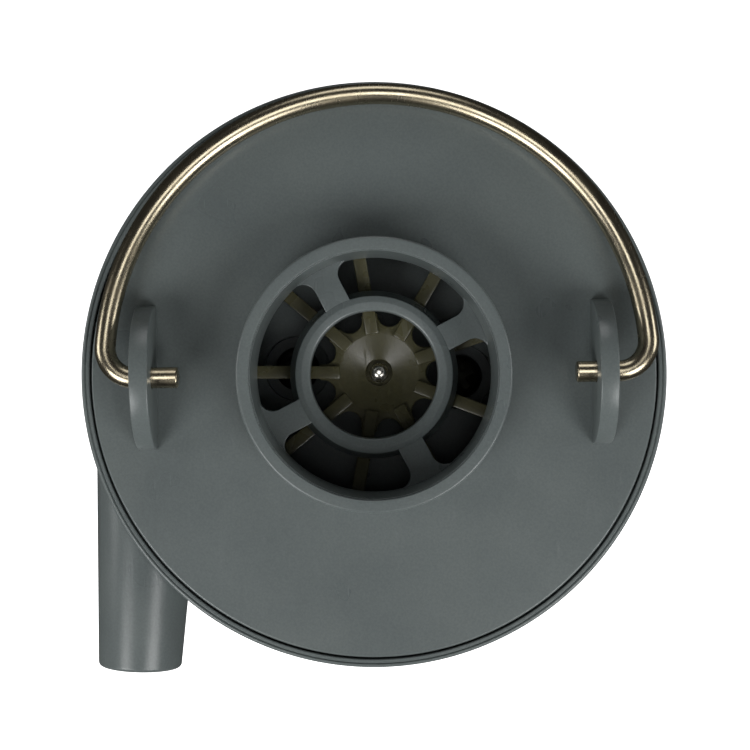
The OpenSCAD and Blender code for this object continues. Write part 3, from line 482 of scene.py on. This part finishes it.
dish = turned([
    (0, core["cutFrom"]), (core["bore"], core["cutFrom"]), (core["bore"], core["stepLow"]),
    (core["step"], core["stepLow"]), (core["step"], core["stepHigh"], core["stepEdge"]),
    (core["dish"], core["top"], core["dishEdge"]), (core["dish"] + past, core["cutTo"]),
    (0, core["cutTo"])], steps=96)
impeller = [carved(hub, [("DIFFERENCE", dish)])]
for i in range(fan["blades"]):
    around = turnedAbout(firstBlade + i * 360 / fan["blades"], "Z")
    for inner, top, outer in ((fan["eye"], fan["high"], fan["radius"]),
                              (core["dish"], fan["eyeTop"], fan["eye"] + fan["overlap"])):
        blade = block((outer - inner, fan["thick"], top - fan["low"]),
                      ((outer + inner) / 2, 0, (top + fan["low"]) / 2), fan["bladeEdge"])
        impeller.append(placed(blade, around))
for shape in impeller:
    placed(shape, motorAxis)
# the impeller's darkened nylon colour is painted shade of the chamber
piece("impellerMoulding", impeller, shadeDarkenedNylon, "rotor", "impeller")

shaft = {"radius": 1, "low": 14.8, "high": 53.35, "edge": 0.1, "tip": 0.94}
rod = placed(turned([
    (0, shaft["low"]), (shaft["radius"], shaft["low"], shaft["edge"]),
    (shaft["radius"], shaft["high"], shaft["tip"]), (0, shaft["high"])], steps=64, arcSteps=14),
    motorAxis)
piece("shaftGround", [rod], groundSteel, "rotor", "motor_shaft")

# motor screws: pan heads with a cross recess
screw = {"head": 2.25, "height": 1.7, "seat": 46, "turn": 35, "shank": 1.3, "length": 3,
         "pointEdge": 0.2, "underEdge": 0.1, "rimShare": 0.62, "rimEdge": 0.7,
         "recess": 2.9, "slot": 0.75, "slotHeight": 2, "slotLift": 0.1, "slotEdge": 0.1}
heads = []
for side in (-1, 1):
    head = turned([
        (0, -screw["length"]), (screw["shank"], -screw["length"], screw["pointEdge"]),
        (screw["shank"], 0), (screw["head"], 0, screw["underEdge"]),
        (screw["head"], screw["height"] * screw["rimShare"], screw["rimEdge"]),
        (0, screw["height"], 0)], steps=96)
    cross = [placed(block((screw["recess"], screw["slot"], screw["slotHeight"]), (0, 0, 0),
                          screw["slotEdge"]),
                    movedBy(0, 0, screw["height"] + screw["slotLift"]) @ turnedAbout(turn, "Z"))
             for turn in (0, 90)]
    heads.append(placed(carved(head, [("DIFFERENCE", arm) for arm in cross]), motorAxis
                        @ movedBy(side * motor["pitch"] / 2, 0, screw["seat"])
                        @ turnedAbout(screw["turn"], "Z")))
piece("motorScrews", heads, zincScrew, "pump_body", "motor_screws")
print("impeller and screws made")

# foot: ring with its lip, which is open where the case screws' heads lie
foot = {"radius": 28.15, "inside": 24.15, "top": 6, "lip": 26.2, "lipInside": 24.9, "lipTop": 7.2,
        "insideEdge": 0.35, "outsideEdge": 0.9, "topEdge": 0.18, "lipEdge": 0.15}
lamp = {"seat": 26.15, "seatLow": 1, "seatTop": 2.7, "radius": 26.05, "low": 1.05, "top": 2.65,
        "lowEdge": 0.1, "topEdge": 0.2}
footRing = turned([
    (foot["inside"], 0, foot["insideEdge"]), (foot["radius"], 0, foot["outsideEdge"]),
    (foot["radius"], foot["top"], foot["topEdge"]), (foot["lip"], foot["top"]),
    (foot["lip"], foot["lipTop"], foot["lipEdge"]),
    (foot["lipInside"], foot["lipTop"], foot["lipEdge"]), (foot["lipInside"], lamp["seatTop"]),
    (lamp["seat"], lamp["seatTop"]), (lamp["seat"], lamp["seatLow"]),
    (foot["inside"], lamp["seatLow"], foot["lipEdge"])], steps=256)
lipGap = {"turns": (30, 150, 270), "span": 12.46, "inside": 23.95, "outside": 26.65, "low": 5.55,
          "high": 8}
gapOutline = [(lipGap["inside"], lipGap["low"]), (lipGap["outside"], lipGap["low"]),
              (lipGap["outside"], lipGap["high"]), (lipGap["inside"], lipGap["high"])]
gaps = [("DIFFERENCE", swept(gapOutline, turn - lipGap["span"] / 2, turn + lipGap["span"] / 2, 6))
        for turn in lipGap["turns"]]
piece("footRing", [carved(footRing, gaps)], mouldedShell, "pump_body", "foot_ring")

# lens of the lamp, held in the foot ring
lens = turned([(0, lamp["low"]), (lamp["radius"], lamp["low"], lamp["lowEdge"]),
               (lamp["radius"], lamp["top"], lamp["topEdge"]), (0, lamp["top"])])
piece("lampLens", [lens], frostedLens, "pump_body", "lens")

# button cap with its flange, dished for the finger
cap = {"boss": 1.6, "bossLow": 25.3, "flange": 5.1, "flangeLow": 25.4, "flangeTop": 25.8,
       "edge": 0.35, "dish": 3.2, "dishEdge": 0.5, "floor": 1.4, "depth": 0.35, "floorEdge": 0.8}
dished = button["face"] - cap["depth"]
buttonCap = placed(turned([
    (0, cap["bossLow"]), (cap["boss"], cap["bossLow"]), (cap["boss"], cap["flangeLow"]),
    (cap["flange"], cap["flangeLow"]), (cap["flange"], cap["flangeTop"]),
    (button["radius"], cap["flangeTop"]), (button["radius"], button["face"], cap["edge"]),
    (cap["dish"], button["face"], cap["dishEdge"]), (cap["floor"], dished, cap["floorEdge"]),
    (0, dished)], steps=96), buttonAxis)
piece("buttonCap", [buttonCap], buttonPlastic, "button", "power_button")
print("foot and button made")

# plain finishes of what shows little or is sealed inside
finishes = {
    "port_cover": siliconeCover, "motor_can": zincScrew, "case_screws": zincScrew,
    "charge_socket": zincScrew, "switch_plunger": shadeDarkenedNylon, "motor_end_bell": shadeDarkenedNylon}
# two colours, metal and roughness of each material slot
looks = {
    "copper": ("#a8683c", "#94592f", 1.0, 0.3), "bronze": ("#9c8152", "#8a7147", 1.0, 0.45),
    "ferrite": ("#3d3d40", "#353538", 0.0, 0.7), "carbon": ("#2b2b2d", "#252527", 0.0, 0.6),
    "phenolic": ("#633422", "#57301f", 0.0, 0.5), "tin_brass": ("#c2ad76", "#ad9965", 1.0, 0.35),
    "cell_sleeve": ("#3a6a97", "#335f89", 0.0, 0.3), "nickel_strip": ("#bdbdb8", "#aaaaa5", 1.0, 0.3),
    "foam": ("#2c2c2e", "#252527", 0.0, 0.9), "board_green": ("#2b6340", "#26593a", 0.0, 0.35),
    "board_white": ("#ecece6", "#dfdfd8", 0.0, 0.4), "black_plastic": ("#27272a", "#212124", 0.0, 0.5),
    "white_plastic": ("#e4e4df", "#d9d9d3", 0.0, 0.5), "chip_resin": ("#ecdc93", "#e0cf84", 0.0, 0.3),
    "plated_steel": ("#a3a39e", "#8f8f8a", 1.0, 0.35)}
made = {}
for entry in frame["record"]["subparts"]:
    slotName = entry["material_slot"]
    if entry["node"] in finishes:
        finish = finishes[entry["node"]]
    elif slotName in looks:
        if slotName not in made:
            first, second, metal, rough = looks[slotName]
            made[slotName] = makeMaterial(slotName + "Finish", {
                "colour": first, "other": second, "blotch": 2.5, "grain": 0.2, "speckle": 0.06,
                "rough": rough, "roughSpread": 0.05, "relief": 0.006, "metal": metal})
        finish = made[slotName]
    else:
        finish = mouldedShell
    for place in frame["nodes"][entry["node"]].material_slots:
        place.material = finish
print("finishes set")

# floor of white paper, white to the camera and dim in what the part reflects
floorShape = bmesh.new()
bmesh.ops.create_grid(floorShape, x_segments=1, y_segments=1, size=1.5)
floorMesh = bpy.data.meshes.new("floor")
floorShape.to_mesh(floorMesh)
floorShape.free()
floorObject = bpy.data.objects.new("floor", floorMesh)
bpy.context.collection.objects.link(floorObject)
paper = bpy.data.materials.new("whitePaper")
paper.use_nodes = True
tree = paper.node_tree
tree.nodes.clear()
diffuse = addNode(tree, "BsdfDiffuse", {"Color": linear("#f4f4f4")})
glow = addNode(tree, "Emission", {"Color": linear("#ffffff"), "Strength": 0.96})
both = addNode(tree, "AddShader", {0: diffuse.outputs[0], 1: glow.outputs[0]})
path = addNode(tree, "LightPath").outputs
dim = addNode(tree, "BsdfDiffuse", {"Color": linear("#3c3c3a")})
bounced = addNode(tree, "MixShader", {0: path["Is Glossy Ray"], 1: diffuse.outputs[0],
                                      2: dim.outputs[0]})
choice = addNode(tree, "MixShader", {0: path["Is Camera Ray"], 1: bounced.outputs[0],
                                     2: both.outputs[0]})
tree.links.new(choice.outputs[0], addNode(tree, "OutputMaterial").inputs[0])
floorMesh.materials.append(paper)

# lights, in metres; the sheen light is the soft box that only the polished metal reflects
polished = bpy.data.collections.new("polishedMetal")
for shiny in ("bailWire", "shaftGround"):
    polished.objects.link(bpy.data.objects[shiny])
lights = {"frontLeft": {"size": 0.42, "place": (-0.4, -0.42, 0.56), "power": 3.3},
          "frontRight": {"size": 0.42, "place": (0.4, -0.42, 0.56), "power": 3.1},
          "left": {"size": 0.3, "place": (-0.62, 0.05, 0.24), "power": 0.8},
          "right": {"size": 0.3, "place": (0.62, 0.05, 0.24), "power": 0.8},
          "back": {"size": 0.3, "place": (0.0, 0.6, 0.3), "power": 0.5},
          "over": {"size": 0.3, "place": (0.0, -0.1, 0.75), "power": 0.3, "matt": True},
          "sheen": {"size": 0.3, "place": (0.0, 0.0, 0.75), "power": 1.0, "only": polished}}
aimedAt = Vector((0, 0, 0.05))
for name, light in lights.items():
    area = bpy.data.lights.new(name + "Light", "AREA")
    area.shape = "DISK"
    area.size = light["size"]
    area.energy = light["power"]
    holder = bpy.data.objects.new(name + "Light", area)
    bpy.context.collection.objects.link(holder)
    holder.location = light["place"]
    holder.light_linking.receiver_collection = light.get("only")
    holder.visible_glossy = not light.get("matt", False)
    holder.rotation_euler = (aimedAt - holder.location).to_track_quat("-Z", "Y").to_euler()

# the world is white to the camera and nearly dark to all else
world = bpy.data.worlds.new("studio")
bpy.context.scene.world = world
world.use_nodes = True
tree = world.node_tree
tree.nodes.clear()
soft = addNode(tree, "Background", {"Color": linear("#ffffff"), "Strength": 0.02})
white = addNode(tree, "Background", {"Color": linear("#ffffff"), "Strength": 1.0})
seen = addNode(tree, "LightPath").outputs["Is Camera Ray"]
mixed = addNode(tree, "MixShader", {0: seen, 1: soft.outputs[0], 2: white.outputs[0]})
tree.links.new(mixed.outputs[0], addNode(tree, "OutputWorld").inputs[0])

# camera straight above, close to the part; its shifts are pixels of the photo
shot = {"height": 214, "lens": 77.04, "sensor": 36, "roll": -0.86, "shiftX": 0.9, "shiftY": 0.4,
        "photoWidth": 750}
camera = bpy.data.cameras.new("camera")
camera.sensor_width = shot["sensor"]
camera.lens = shot["lens"]
camera.shift_x = shot["shiftX"] / shot["photoWidth"]
camera.shift_y = -shot["shiftY"] / shot["photoWidth"]
camera.clip_start = 0.01
camera.clip_end = 10
viewer = bpy.data.objects.new("camera", camera)
bpy.context.collection.objects.link(viewer)
viewer.location = (0, 0, shot["height"] * mm)
viewer.rotation_euler = (0, 0, math.radians(shot["roll"]))
bpy.context.scene.camera = viewer
bpy.context.scene.view_settings.view_transform = "Standard"
print("light and camera set")
